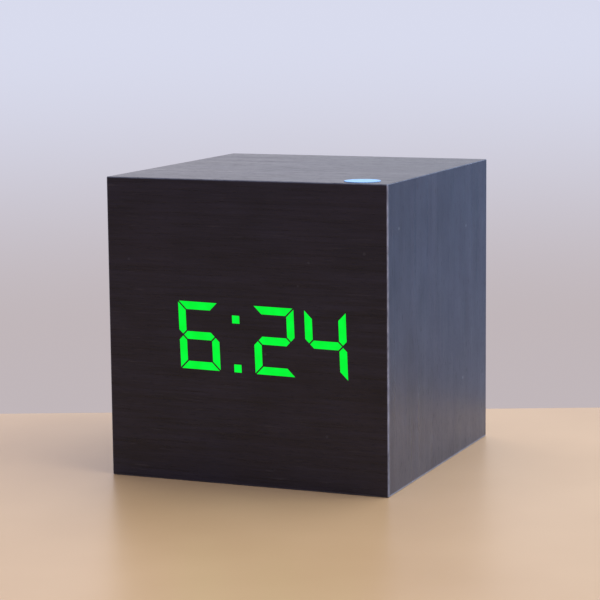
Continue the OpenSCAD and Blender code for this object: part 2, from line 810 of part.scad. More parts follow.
module tray_screws() {
    color(STEEL) for (at = tray_screws_at)
        translate([at[0], at[1], flange_z[0]]) rotate([180, 0, 0]) difference() {
            union() {
                translate([0, 0, -0.9]) cylinder(r1 = 0.9, r2 = 1.65, h = 0.9);
                translate([0, 0, -6]) cylinder(r = 0.9, h = 5.2);
            }
            cross_recess(1, 0.5);
        }
}

// The door swings on two pegs; a tongue between two slits is its latch
module battery_door() {
    color(BLACK_PLASTIC) difference() {
        union() {
            block([-door_x, door_x], [hinge_y + 0.1, door_y], [door_z, door_inner_z]);
            translate([-door_x, hinge_y, hinge_z]) rotate([0, 90, 0]) cylinder(r = hinge_r, h = 2 * door_x);
            translate([-peg_x, hinge_y, hinge_z]) rotate([0, 90, 0]) cylinder(r = peg_r, h = 2 * peg_x);
            slab_x(-latch_x + 0.6, latch_x - 0.6) polygon([
                [door_y - 1.2, door_inner_z - 0.1], [door_y + 0.15, door_inner_z - 0.1],
                [door_y + 0.15, door_inner_z + 0.35], [door_y - 0.5, door_inner_z + 0.8],
                [door_y - 1.2, door_inner_z + 0.8]]);
        }
        for (side = [-1, 1])
            block([side * (latch_x + 0.3) - 0.3, side * (latch_x + 0.3) + 0.3],
                [door_y - 8, door_y + 1], [door_z - 1, door_inner_z + 1]);
        for (i = [0:3])
            block([-3.4, 3.4], [door_y - 6 + 1.4 * i, door_y - 5.4 + 1.4 * i], [door_z - 1, door_z + 0.3]);
    }
}

// A cell along Y; towards is 1 when its raised terminal points to +Y
module cell(x, towards) {
    color("#c7a247") translate([x, towards * cell_foot_y, cell_z]) rotate([-90 * towards, 0, 0])
        rotate_extrude() polygon([
            [0, 0], [3.6, 0], [3.6, 0.15], [cell_r - 0.6, 0.15], [cell_r, 0.6], [cell_r, cell_l - 1.6],
            [cell_r - 0.5, cell_l - 1.1], [2.6, cell_l - 0.9], [1.9, cell_l - 0.8], [1.9, cell_l - 0.15],
            [1.7, cell_l], [0, cell_l]]);
}

// Contacts are drawn at the +Y end; end is 1 there and -1 at the other end
module contact_sheet(x0, x1, end) {
    y = [bay_y - contact_t, bay_y];
    block([x0 - contact_w / 2, x1 + contact_w / 2],
        [min(end * y[0], end * y[1]), max(end * y[0], end * y[1])], contact_z);
}

module contact_dimple(x, end) {
    face = bay_y - contact_t;
    cone_y([x, cell_z], end > 0 ? 1.5 : 1.9, end > 0 ? 1.9 : 1.5,
        end > 0 ? face - dimple_h : -face - 0.1, end > 0 ? face + 0.1 : -face + dimple_h);
}

module contact_tab(x, end, top) {
    y = [bay_y - contact_t, bay_y];
    block([x - 1, x + 1], [min(end * y[0], end * y[1]), max(end * y[0], end * y[1])],
        [contact_z[1] - 0.5, top]);
}

// Conical spring from the contact sheet to the flat end of a cell
module contact_spring(x, end) {
    face = bay_y - contact_t + 0.1;
    length = face + cell_foot_y - spring_wire / 2 - 0.05;
    steps = 16 * spring_turns;
    path = [for (i = [0:steps]) let (s = i / steps, r = mix(3.5, 2, s), a = 360 * spring_turns * s)
        [x + r * cos(a), end * (face - length * s), cell_z + r * sin(a)]];
    tube(path, spring_wire / 2, [0, 1, 0], 6);
}

module positive_contact() {
    color(TIN) {
        contact_sheet(-cell_pitch, -cell_pitch, 1);
        contact_dimple(-cell_pitch, 1);
        contact_tab(-cell_pitch, 1, tray_top_z + 2);
    }
}

module negative_contact() {
    color(TIN) {
        contact_sheet(cell_pitch, cell_pitch, -1);
        contact_spring(cell_pitch, -1);
        contact_tab(cell_pitch, -1, tray_top_z + 1.2);
    }
}

module front_link() {
    color(TIN) {
        contact_sheet(-cell_pitch, 0, -1);
        contact_spring(-cell_pitch, -1);
        contact_dimple(0, -1);
    }
}

module rear_link() {
    color(TIN) {
        contact_sheet(0, cell_pitch, 1);
        contact_spring(0, 1);
        contact_dimple(cell_pitch, 1);
    }
}

// Insulated leads from the tray's two tabs to the display board
LEAD_R = 0.6;
HEADER_BACK = [0, display_pcb_back_y + 4.2, header_z];
RED_ROUTE = [
    [-cell_pitch, bay_y - contact_t, tray_top_z + 1.4], [-cell_pitch, 20, tray_top_z + 1.4],
    [-9, 12, tray_top_z + 0.9], [-5, 2, tray_top_z + 0.9], [0, -7, tray_top_z + 1],
    [2.6, -12, tray_top_z + 2.5], [3.4, -16, header_z - 0.6],
    [battery_header_x - 1, HEADER_BACK[1] + 1.5, header_z],
    [battery_header_x - 1, HEADER_BACK[1], header_z]];
BLACK_ROUTE = [
    [cell_pitch, -bay_y + contact_t, tray_top_z + 0.7], [cell_pitch - 0.2, -21, tray_top_z + 0.9],
    [9, -15.5, tray_top_z + 1.4], [7, -14, tray_top_z + 3.4], [5.8, -16, header_z - 0.4],
    [battery_header_x + 1, HEADER_BACK[1] + 1.5, header_z],
    [battery_header_x + 1, HEADER_BACK[1], header_z]];

module red_lead() {
    color("#b3241c") tube(smooth_path(RED_ROUTE, 5), LEAD_R, [1, 0, 0]);
}

module black_lead() {
    color("#1a1a1c") tube(smooth_path(BLACK_ROUTE, 5), LEAD_R, [1, 0.1, 0]);
}

// ---------------------------------------------------------------- nodes

front_board();
top_board();
bottom_board();
side_board(-1);  // left_board
side_board(1);  // right_board
rear_board();
front_film();
sleeve_film();
rear_film();
top_sticker();
corner_cleats();
rear_screws();
lit_segments();
display_housing();
segment_lenses();
display_leds();
display_board();
display_spacers();
display_screws();
clock_chip();
board_resistors();
digit_drivers();
timing_crystal();
smoothing_capacitor();
buzzer();
battery_header();
ribbon_headers();
control_plate();
plate_screws();
control_board();
control_screws();
switch_bodies();
switch_covers();
switch_domes();
button_cap(button_x[0]);  // set_button
button_cap(button_x[1]);  // up_button
button_cap(button_x[2]);  // down_button
plunger(button_x[0]);  // set_plunger
plunger(button_x[1]);  // up_plunger
plunger(button_x[2]);  // down_plunger
socket_shell();
socket_tongue();
socket_contacts();
thermistor();
microphone();
battery_tray();
tray_battens();
tray_screws();
battery_door();
cell(cell_x[0], 1);  // left_cell
cell(cell_x[1], -1);  // middle_cell
cell(cell_x[2], 1);  // right_cell
positive_contact();
negative_contact();
front_link();
rear_link();
red_lead();
black_lead();
control_ribbon();
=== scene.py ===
"""The looks of the cube alarm clock: materials, rounded edges, floor, lights and camera.

Lengths are in metres in the CAD frame. Texture sizes and edge widths are in millimetres.
Colours are linear, from 0 to 1.
"""

import math

import bmesh
import bpy
from mathutils import Matrix, Vector


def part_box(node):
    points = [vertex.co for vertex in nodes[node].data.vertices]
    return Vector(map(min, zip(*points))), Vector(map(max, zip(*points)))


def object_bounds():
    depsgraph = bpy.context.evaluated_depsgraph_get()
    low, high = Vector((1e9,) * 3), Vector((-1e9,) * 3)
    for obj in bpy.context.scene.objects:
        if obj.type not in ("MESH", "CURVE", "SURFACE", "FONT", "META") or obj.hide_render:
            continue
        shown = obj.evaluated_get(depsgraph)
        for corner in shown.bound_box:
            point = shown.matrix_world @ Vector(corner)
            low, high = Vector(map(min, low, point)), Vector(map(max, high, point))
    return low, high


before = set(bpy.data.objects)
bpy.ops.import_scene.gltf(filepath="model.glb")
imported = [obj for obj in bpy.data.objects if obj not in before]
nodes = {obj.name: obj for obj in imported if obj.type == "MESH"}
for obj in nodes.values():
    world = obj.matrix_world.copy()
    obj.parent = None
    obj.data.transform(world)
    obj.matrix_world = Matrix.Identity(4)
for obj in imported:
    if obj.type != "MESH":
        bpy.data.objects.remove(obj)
cad_box = [list(corner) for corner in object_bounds()]
MM = 0.001


# ---------------------------------------------------------------- node trees

# Where a Mix node keeps its sockets when it mixes colours.
MIX_SHARE = 0
MIX_FIRST = 6
MIX_LAST = 7
MIX_RESULT = 2


def feed(tree, socket, value):
    """Links a socket to another one, or gives it that number or colour."""
    if isinstance(value, bpy.types.NodeSocket):
        tree.links.new(value, socket)
    elif isinstance(value, tuple) and len(value) == 3 and socket.type == "RGBA":
        socket.default_value = (*value, 1.0)
    else:
        socket.default_value = value


def calculate(tree, operation, a, b=0.0):
    node = tree.nodes.new("ShaderNodeMath")
    node.operation = operation
    feed(tree, node.inputs[0], a)
    feed(tree, node.inputs[1], b)
    return node.outputs[0]


def map_range(tree, value, low, high, to_low=0.0, to_high=1.0, smooth=False):
    """Goes from to_low to to_high as value goes from low to high, and stays at them beyond."""
    node = tree.nodes.new("ShaderNodeMapRange")
    if smooth:
        node.interpolation_type = "SMOOTHSTEP"
    feed(tree, node.inputs["Value"], value)
    node.inputs["From Min"].default_value = low
    node.inputs["From Max"].default_value = high
    node.inputs["To Min"].default_value = to_low
    node.inputs["To Max"].default_value = to_high
    return node.outputs[0]


def mix_colours(tree, share, first, last):
    """Goes from the first colour to the last as share goes from 0 to 1."""
    node = tree.nodes.new("ShaderNodeMix")
    node.data_type = "RGBA"
    feed(tree, node.inputs[MIX_SHARE], share)
    feed(tree, node.inputs[MIX_FIRST], first)
    feed(tree, node.inputs[MIX_LAST], last)
    return node.outputs[MIX_RESULT]


class Look:
    """A node material in the making. Its coordinates are the object's own, in millimetres."""

    def __init__(self, name, rough=0.5, metal=0.0, ior=1.45):
        self.material = bpy.data.materials.new(name)
        self.material.use_nodes = True
        self.tree = self.material.node_tree
        self.shader = self.tree.nodes["Principled BSDF"]
        self.set("Roughness", rough)
        self.set("Metallic", metal)
        self.set("IOR", ior)
        here = self.tree.nodes.new("ShaderNodeTexCoord").outputs["Object"]
        self.place = self.stretched(here, (1 / MM, 1 / MM, 1 / MM))
        self.normal = None

    def set(self, input_name, value):
        """Gives the shader's input that number or colour, or links it to that socket."""
        feed(self.tree, self.shader.inputs[input_name], value)

    def stretched(self, vector, scale, offset=(0, 0, 0)):
        mapping = self.tree.nodes.new("ShaderNodeMapping")
        feed(self.tree, mapping.inputs["Vector"], vector)
        mapping.inputs["Scale"].default_value = scale
        mapping.inputs["Location"].default_value = offset
        return mapping.outputs[0]

    def noise(self, scale, stretch=(1, 1, 1), detail=3, offset=(0, 0, 0), rough=0.5):
        """Noise with that many lumps to a millimetre, more of them along each stretched axis."""
        texture = self.tree.nodes.new("ShaderNodeTexNoise")
        feed(self.tree, texture.inputs["Vector"], self.stretched(self.place, stretch, offset))
        texture.inputs["Scale"].default_value = scale
        texture.inputs["Detail"].default_value = detail
        texture.inputs["Roughness"].default_value = rough
        return texture.outputs[0]

    def cells(self, scale, offset):
        """Distance from the nearest of many scattered points, in units of their spacing."""
        texture = self.tree.nodes.new("ShaderNodeTexVoronoi")
        feed(self.tree, texture.inputs["Vector"], self.stretched(self.place, (1, 1, 1), offset))
        texture.inputs["Scale"].default_value = scale
        return texture.outputs["Distance"]

    def axis(self, name):
        """One coordinate of the point being shaded, in millimetres."""
        split = self.tree.nodes.new("ShaderNodeSeparateXYZ")
        feed(self.tree, split.inputs[0], self.place)
        return split.outputs[name]

    def plus(self, a, b):
        return calculate(self.tree, "ADD", a, b)

    def minus(self, a, b):
        return calculate(self.tree, "SUBTRACT", a, b)

    def times(self, a, b):
        return calculate(self.tree, "MULTIPLY", a, b)

    def larger(self, a, b):
        return calculate(self.tree, "MAXIMUM", a, b)

    def remap(self, value, low, high, to_low=0.0, to_high=1.0):
        return map_range(self.tree, value, low, high, to_low, to_high)

    def blend(self, share, first, last):
        return mix_colours(self.tree, share, first, last)

    def bump(self, height, depth_mm):
        """Raises the surface by height times that depth."""
        node = self.tree.nodes.new("ShaderNodeBump")
        node.inputs["Distance"].default_value = depth_mm * MM
        feed(self.tree, node.inputs["Height"], height)
        self.set("Normal", node.outputs[0])


# ---------------------------------------------------------------- the wood-grain film

# The print's middle tone, how far it goes either way, and what its darkest and palest tones
# are multiplied by for their hue.
FILM_TONE = 0.0140
FILM_TONE_REACH = 0.0070
FILM_DARK_HUE = (0.96, 0.88, 1.50)
FILM_PALE_HUE = (0.96, 0.90, 1.50)

# What covers the print or shows through it.
FILM_TINT = (0.0215, 0.0155, 0.0215)
FILM_PORE = (0.0040, 0.0034, 0.0044)
FILM_SCUFF = (0.0480, 0.0440, 0.0520)
FILM_DUST = (0.17, 0.18, 0.20)
# Pale bluish film on rubbed edges. It is partly wear and partly a painted edge highlight.
FILM_RUBBED_AND_HIGHLIGHT = (0.34, 0.37, 0.46)


def printed_grain(look, fine, broad, contrast):
    """The print: dark and pale lines in patches, tinted warmer here and there."""
    patch = look.noise(0.11, offset=(11, 2, 7))
    tone = look.plus(look.times(fine, 0.5), look.times(broad, 0.25))
    tone = look.plus(tone, look.times(patch, 0.25))
    reach = FILM_TONE_REACH * contrast
    dark = tuple((FILM_TONE - reach) * part for part in FILM_DARK_HUE)
    pale = tuple((FILM_TONE + reach) * part for part in FILM_PALE_HUE)
    colour = look.blend(look.remap(tone, 0.38, 0.62), dark, pale)
    tint = look.noise(0.035, detail=2, offset=(2, 14, 6))
    return look.blend(look.remap(tint, 0.40, 0.62, 0.0, 0.30), colour, FILM_TINT)


def scuffed(look, colour, scratches):
    """Faint scratches over that colour, clearest in a few broad patches."""
    patch = look.remap(look.noise(0.05, detail=2, offset=(0, 0, 14)), 0.42, 0.60)
    strength = look.times(look.plus(patch, 0.15), 0.6)
    return look.blend(look.times(scratches, strength), colour, FILM_SCUFF)


def dusty(look, colour, dust_share):
    """A few scattered specks of dust over that colour."""
    specks = look.remap(look.cells(0.12, offset=(5, 1, 3)), 0.045, 0.030)
    return look.blend(look.times(specks, dust_share), colour, FILM_DUST)


def wandering_sheen(look, grain, change):
    """A specular level that wanders by that much in bands along the grain and in blotches."""
    band = grain(0.22, 7, detail=4, rough=0.6, offset=(8, 3, 5))
    blotch = grain(0.13, 1.6, detail=4, rough=0.6, offset=(1, 9, 2))
    sheen = look.plus(look.times(band, 0.5), look.times(blotch, 0.5))
    return look.remap(sheen, 0.40, 0.60, 0.5 - change, 0.5 + change)


def wood_film(name, along, lines_per_mm, line_length, contrast, dust_share, sheen_change=0.0, wear=None):
    """Dark film printed and pressed with wood grain, whose lines run along those axes.

    A line is about line_length times as long as it is wide. dust_share is how clearly the few
    specks of dust show. sheen_change is how far the gloss wanders. wear, if any, is where the
    print is worn thin and a pale edge highlight is painted on, as a function of the look that
    gives a share from 0 to 1.
    """
    look = Look(name, ior=1.42)

    def grain(scale, length, **noise):
        """Noise that is drawn out along the lines of the grain."""
        stretch = tuple(1 / length if axis in along else 1.0 for axis in "XYZ")
        return look.noise(scale, stretch, **noise)

    fine = grain(lines_per_mm, line_length, detail=4, rough=0.65)
    broad = grain(lines_per_mm * 0.28, line_length * 0.6, offset=(3, 5, 8))
    pores = look.remap(grain(3.6, 7, detail=2, offset=(9, 4, 1)), 0.57, 0.70)
    scratches = look.remap(grain(lines_per_mm * 1.3, line_length * 0.5, offset=(6, 6, 2)), 0.60, 0.76)

    colour = printed_grain(look, fine, broad, contrast)
    colour = look.blend(look.times(pores, 0.5), colour, FILM_PORE)
    colour = scuffed(look, colour, scratches)
    colour = dusty(look, colour, dust_share)
    # Pale film on the edges: partly wear, partly a painted highlight where the edge catches the light.
    if wear is not None:
        colour = look.blend(wear(look), colour, FILM_RUBBED_AND_HIGHLIGHT)
    look.set("Base Color", colour)
    if sheen_change > 0:
        look.set("Specular IOR Level", wandering_sheen(look, grain, sheen_change))
    look.set("Roughness", look.plus(look.remap(fine, 0.3, 0.7, 0.26, 0.36), look.times(pores, 0.12)))
    look.bump(look.minus(look.times(fine, 0.8), pores), 0.014)
    return look.material


def edge_chips(look):
    """How unevenly an edge's pale line shows, from half to fully: chips in the wear and in the painted
    highlight.
    """
    chips = look.noise(0.7, (1, 1, 0.6), rough=0.6, offset=(1, 8, 4))
    return look.remap(chips, 0.36, 0.66, 0.5, 1.0)


def front_edge_wear_and_highlight(look):
    """Rubbed film and a painted pale highlight along the edges of the front, most on the right, with a
    few chips.
    """
    low, high = (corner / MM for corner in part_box("front_film"))
    x, z = look.axis("X"), look.axis("Z")
    distances = (
        (look.minus(high.x, x), 1.0),
        (look.minus(x, low.x), 0.3),
        (look.minus(high.z, z), 0.3),
        (look.minus(z, low.z), 0.3),
    )
    rubbed_and_highlit = 0.0
    for distance, share in distances:
        rubbed_and_highlit = look.larger(look.remap(distance, 0.30, 0.10, 0.0, share), rubbed_and_highlit)
    return look.times(rubbed_and_highlit, edge_chips(look))


def sleeve_edge_wear_and_highlight(look):
    """Rubbed film and a painted pale highlight along the sleeve's front end and its lower edge, only at
    the clock's right.
    """
    low, high = (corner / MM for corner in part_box("sleeve_film"))
    front_end = look.remap(look.minus(look.axis("Y"), low.y), 0.5, 0.05, 0.0, 0.6)
    lower_edge = look.remap(look.minus(look.axis("Z"), low.z), 0.45, 0.25, 0.0, 0.9)
    on_right = look.remap(look.axis("X"), high.x - 0.4, high.x - 0.2)
    rubbed_and_highlit = look.times(look.larger(front_end, lower_edge), on_right)
    return look.times(rubbed_and_highlit, edge_chips(look))


# ---------------------------------------------------------------- other materials


def fibreboard():
    """Raw fibreboard: fine pale and dark fibres, with its back edge stained black."""
    look = Look("fibreboard", rough=0.85)
    fibre = look.noise(4.0, (1, 0.3, 1), detail=5, rough=0.7)
    fleck = look.noise(1.3, offset=(2, 2, 2))
    raw = look.blend(look.remap(fibre, 0.35, 0.65), (0.17, 0.10, 0.055), (0.40, 0.27, 0.165))
    raw = look.blend(look.remap(fleck, 0.55, 0.75, 0.0, 0.5), raw, (0.12, 0.07, 0.04))
    black = look.blend(fibre, (0.010, 0.009, 0.009), (0.026, 0.023, 0.022))
    rear_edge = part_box("sleeve_film")[1].y / MM
    stained = look.remap(look.axis("Y"), rear_edge - 0.5, rear_edge - 0.3)
    look.set("Base Color", look.blend(stained, raw, black))
    look.bump(fibre, 0.05)
    return look.material


def softwood():
    """Sawn pine, its grain along Y."""
    look = Look("softwood", rough=0.75)
    grain = look.noise(1.6, (1, 0.06, 1), detail=4)
    rings = look.noise(0.5, (1, 0.04, 1), detail=2, offset=(4, 0, 0))
    tone = look.plus(look.times(grain, 0.5), look.times(rings, 0.5))
    colour = look.blend(look.remap(tone, 0.35, 0.65), (0.30, 0.17, 0.08), (0.58, 0.41, 0.24))
    look.set("Base Color", colour)
    look.bump(grain, 0.03)
    return look.material


def moulded(name, dark, pale, rough):
    """Moulded plastic with a fine spark-eroded texture and faint handling marks."""
    look = Look(name, rough=rough, ior=1.5)
    texture = look.noise(9.0, rough=0.6)
    wear = look.noise(0.25, detail=4, offset=(3, 1, 2))
    look.set("Base Color", look.blend(look.remap(wear, 0.3, 0.7), dark, pale))
    look.set("Roughness", look.remap(wear, 0.3, 0.7, rough - 0.06, rough + 0.06))
    look.bump(texture, 0.006)
    return look.material


def metal(name, dark, pale, rough):
    """Plated metal, its tone and polish broken up a little by how it was worked."""
    look = Look(name, rough=rough, metal=1.0)
    worked = look.noise(5.0, detail=4)
    stain = look.noise(0.6, offset=(7, 7, 7))
    look.set("Base Color", look.blend(look.remap(stain, 0.3, 0.7), dark, pale))
    look.set("Roughness", look.remap(worked, 0.3, 0.7, rough - 0.08, rough + 0.10))
    look.bump(worked, 0.004)
    return look.material


def lit_green():
    """Light coming through the film: pure green, a touch uneven across a segment."""
    look = Look("lit_green")
    look.set("Base Color", (0.0, 0.02, 0.0))
    look.set("Specular IOR Level", 0.1)
    spread = look.remap(look.noise(0.45, detail=1), 0.3, 0.7)
    look.set("Emission Color", look.blend(spread, (0.0, 0.90, 0.036), (0.0, 1.0, 0.048)))
    look.set("Emission Strength", 1.0)
    return look.material


def paper_sticker():
    """Pale blue paper with a fine tooth."""
    look = Look("sticker_paper", rough=0.6)
    fibre = look.noise(6.0, detail=4, rough=0.7)
    colour = look.blend(look.remap(fibre, 0.3, 0.7), (0.26, 0.50, 0.80), (0.31, 0.56, 0.86))
    look.set("Base Color", colour)
    look.bump(fibre, 0.004)
    return look.material


def circuit_board():
    """Green solder mask over copper: the copper's routes show as paler lines."""
    look = Look("circuit_board", rough=0.35)
    radians_per_mm = 3.4  # which makes a route every 0.92 mm
    wave = calculate(look.tree, "SINE", look.times(look.axis("Z"), radians_per_mm))
    routes = look.remap(calculate(look.tree, "ABSOLUTE", wave), 0.90, 0.96)
    routed = look.remap(look.noise(0.16, (1, 1, 2.0), detail=1, offset=(4, 2, 9)), 0.46, 0.50)
    copper = look.times(routes, routed)
    weave = look.noise(5.0, detail=2)
    mask = look.blend(look.remap(weave, 0.3, 0.7), (0.010, 0.085, 0.035), (0.016, 0.110, 0.048))
    look.set("Base Color", look.blend(look.times(copper, 0.7), mask, (0.06, 0.26, 0.10)))
    look.bump(look.plus(copper, look.times(weave, 0.15)), 0.03)
    return look.material


def cell_jacket(name, plus_y, towards):
    """A generic printed sleeve on a cell: grey body, copper-coloured band at the raised end.

    plus_y is where the raised end is. towards is 1 where that end faces +Y, and -1 where it
    faces -Y.
    """
    # How far from the raised end the bare cap, the band and the sleeve end.
    cap_mm, band_mm, sleeve_mm = 1.9, 12.0, 43.6
    border_mm = 0.05
    look = Look(name, rough=0.32)
    y = look.axis("Y")

    def beyond(distance_mm, way):
        """1 past that distance: nearer the raised end where way is 1, farther where it is -1."""
        border = plus_y - towards * distance_mm
        return look.remap(y, border, border + way * towards * border_mm)

    grain = look.noise(2.0, (1, 0.1, 1))
    brush = look.remap(grain, 0.3, 0.7)
    body = look.blend(brush, (0.030, 0.033, 0.040), (0.050, 0.055, 0.064))
    copper = look.blend(brush, (0.42, 0.17, 0.06), (0.52, 0.23, 0.09))
    steel = look.blend(brush, (0.50, 0.50, 0.50), (0.62, 0.62, 0.61))
    in_band = beyond(band_mm, 1)
    bare = look.larger(beyond(cap_mm, 1), beyond(sleeve_mm, -1))
    look.set("Base Color", look.blend(bare, look.blend(in_band, body, copper), steel))
    look.set("Metallic", look.larger(bare, look.times(in_band, 0.6)))
    look.bump(grain, 0.004)
    return look.material


def insulation(name, dark, pale):
    """Soft plastic round a wire."""
    look = Look(name, rough=0.42)
    look.set("Base Color", look.blend(look.remap(look.noise(1.2), 0.3, 0.7), dark, pale))
    look.bump(look.noise(8.0, detail=2), 0.006)
    return look.material


def floor_material():
    """A pale, plain table top with a satin finish."""
    look = Look("pale_floor", rough=0.34)
    mottle = look.remap(look.noise(0.02), 0.3, 0.7)
    look.set("Base Color", look.blend(mottle, (0.53, 0.345, 0.175), (0.585, 0.39, 0.205)))
    return look.material


# ---------------------------------------------------------------- which node wears what


def dress(material, *names):
    """Gives CAD nodes a material in place of their own."""
    for name in names:
        mesh = nodes[name].data
        if not mesh.materials:
            mesh.materials.append(material)
        for i in range(len(mesh.materials)):
            mesh.materials[i] = material


front_wood_film = wood_film(
    "front_wood_film",
    along="X",
    lines_per_mm=1.6,
    line_length=26,
    contrast=1.05,
    dust_share=0.12,
    wear=front_edge_wear_and_highlight,
)
sleeve_wood_film = wood_film(
    "sleeve_wood_film",
    along="XZ",
    lines_per_mm=0.9,
    line_length=60,
    contrast=1.5,
    dust_share=0.7,
    sheen_change=0.12,
    wear=sleeve_edge_wear_and_highlight,
)
rear_wood_film = wood_film(
    "rear_wood_film",
    along="X",
    lines_per_mm=1.9,
    line_length=18,
    contrast=1.0,
    dust_share=0.12,
)
dress(front_wood_film, "front_film")
dress(sleeve_wood_film, "sleeve_film")
dress(rear_wood_film, "rear_film")
dress(
    fibreboard(),
    "front_board", "top_board", "bottom_board", "left_board", "right_board", "rear_board",
)
dress(softwood(), "corner_cleats", "tray_battens")
dress(paper_sticker(), "top_sticker")
dress(lit_green(), "lit_segments")
dress(
    moulded("white_nylon", (0.66, 0.66, 0.62), (0.78, 0.78, 0.74), 0.5),
    "display_housing", "display_spacers",
)
dress(
    moulded("header_nylon", (0.70, 0.69, 0.62), (0.80, 0.79, 0.72), 0.45),
    "battery_header", "ribbon_headers",
)
dress(moulded("milky_epoxy", (0.72, 0.75, 0.66), (0.84, 0.86, 0.78), 0.3), "segment_lenses")
dress(moulded("led_resin", (0.55, 0.66, 0.28), (0.70, 0.80, 0.40), 0.2), "display_leds")
dress(
    moulded("chip_epoxy", (0.016, 0.016, 0.018), (0.026, 0.026, 0.029), 0.6),
    "clock_chip", "board_resistors", "digit_drivers",
)
dress(
    moulded("black_abs", (0.012, 0.0125, 0.014), (0.020, 0.0205, 0.023), 0.48),
    "control_plate", "battery_tray", "switch_bodies", "buzzer", "socket_tongue",
)
dress(moulded("door_abs", (0.013, 0.0135, 0.015), (0.022, 0.0225, 0.025), 0.46), "battery_door")
dress(
    moulded("button_abs", (0.016, 0.017, 0.019), (0.028, 0.029, 0.032), 0.34),
    "set_button", "up_button", "down_button",
)
dress(
    moulded("plunger_nylon", (0.05, 0.052, 0.058), (0.075, 0.078, 0.085), 0.4),
    "set_plunger", "up_plunger", "down_plunger",
)
dress(moulded("dipped_epoxy", (0.014, 0.014, 0.016), (0.024, 0.024, 0.027), 0.22), "thermistor")
dress(
    moulded("capacitor_sleeve", (0.010, 0.018, 0.060), (0.016, 0.028, 0.090), 0.3),
    "smoothing_capacitor",
)
dress(
    metal("zinc_steel", (0.50, 0.51, 0.52), (0.64, 0.65, 0.66), 0.34),
    "rear_screws", "display_screws", "plate_screws", "control_screws", "tray_screws",
)
dress(
    metal("tin_plate", (0.56, 0.57, 0.58), (0.70, 0.71, 0.71), 0.28),
    "timing_crystal", "switch_covers", "socket_shell",
    "positive_contact", "negative_contact", "front_link", "rear_link",
)
dress(
    metal("gold_plate", (0.72, 0.49, 0.18), (0.86, 0.62, 0.28), 0.25),
    "switch_domes", "socket_contacts",
)
dress(metal("drawn_aluminium", (0.58, 0.59, 0.60), (0.72, 0.73, 0.74), 0.3), "microphone")
dress(circuit_board(), "display_board", "control_board")
dress(insulation("red_pvc", (0.36, 0.018, 0.012), (0.46, 0.030, 0.020)), "red_lead")
dress(insulation("black_pvc", (0.012, 0.012, 0.013), (0.022, 0.022, 0.024)), "black_lead")
dress(insulation("grey_pvc", (0.22, 0.23, 0.24), (0.32, 0.33, 0.34)), "control_ribbon")
for name, towards in (("left_cell", 1), ("middle_cell", -1), ("right_cell", 1)):
    plus_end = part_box(name)[1 if towards > 0 else 0].y / MM
    dress(cell_jacket(name + "_jacket", plus_end, towards), name)


# ---------------------------------------------------------------- edges

WELD_MM = 0.002
SHARP_EDGE = math.radians(40)


def weld(piece):
    """Joins the corners that neighbouring faces share, so that the bevel sees whole edges."""
    modifier = piece.modifiers.new("weld", "WELD")
    modifier.merge_threshold = WELD_MM * MM


def bevel(piece, width_mm, segments, limit_method):
    """Rounds the piece's sharp edges, or where it goes by weight, the edges that have one."""
    modifier = piece.modifiers.new("bevel", "BEVEL")
    modifier.width = width_mm * MM
    modifier.segments = segments
    modifier.limit_method = limit_method
    modifier.angle_limit = SHARP_EDGE
    modifier.harden_normals = True


def soften(name, width_mm):
    """Rounds a CAD node's sharp edges with modifiers; its mesh is left alone."""
    weld(nodes[name])
    bevel(nodes[name], width_mm, 2, "ANGLE")


def edge_chooser(name, shares):
    """Geometry nodes that give the edges of a node's own box their share of the bevel.

    shares are the shares for edges at the box's front, between its front and back, and at its
    back. Every other edge gets none.
    """
    low, high = (Vector(corner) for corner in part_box(name))
    centre, half = (low + high) / 2, (high - low) / 2
    front_share, side_share, back_share = shares
    tree = bpy.data.node_groups.new(name + "_edges", "GeometryNodeTree")
    tree.is_modifier = True
    for direction in ("INPUT", "OUTPUT"):
        tree.interface.new_socket("Geometry", in_out=direction, socket_type="NodeSocketGeometry")
    start = tree.nodes.new("NodeGroupInput")
    end = tree.nodes.new("NodeGroupOutput")

    place = tree.nodes.new("ShaderNodeSeparateXYZ")
    tree.links.new(tree.nodes.new("GeometryNodeInputPosition").outputs[0], place.inputs[0])
    near = 0.02 * MM
    sides_met = 0.0
    for i in range(3):
        off_centre = calculate(tree, "SUBTRACT", place.outputs[i], centre[i])
        off_centre = calculate(tree, "ABSOLUTE", off_centre)
        at_side = calculate(tree, "GREATER_THAN", off_centre, half[i] - near)
        sides_met = calculate(tree, "ADD", sides_met, at_side)
    # An edge of the box lies on two of its sides.
    on_box_edge = calculate(tree, "GREATER_THAN", sides_met, 1.5)
    at_front = calculate(tree, "LESS_THAN", place.outputs[1], low.y + near)
    at_back = calculate(tree, "GREATER_THAN", place.outputs[1], high.y - near)
    share = calculate(tree, "MULTIPLY", at_front, front_share - side_share)
    share = calculate(tree, "ADD", side_share, share)
    extra = calculate(tree, "MULTIPLY", at_back, back_share - side_share)
    share = calculate(tree, "ADD", share, extra)

    store = tree.nodes.new("GeometryNodeStoreNamedAttribute")
    store.data_type = "FLOAT"
    store.domain = "EDGE"
    store.inputs["Name"].default_value = "bevel_weight_edge"
    tree.links.new(start.outputs[0], store.inputs["Geometry"])
    tree.links.new(calculate(tree, "MULTIPLY", on_box_edge, share), store.inputs["Value"])
    tree.links.new(store.outputs[0], end.inputs[0])
    return tree


def round_film(name, width_mm, shares):
    """Rounds the outer edges of a sheet of film, each by its share of the width."""
    weld(nodes[name])
    chooser = nodes[name].modifiers.new("chosen_edges", "NODES")
    chooser.node_group = edge_chooser(name, shares)
    bevel(nodes[name], width_mm, 4, "WEIGHT")


round_film("front_film", 0.27, (1.0, 1.0, 0.12))
round_film("sleeve_film", 0.27, (0.12, 1.0, 0.5))

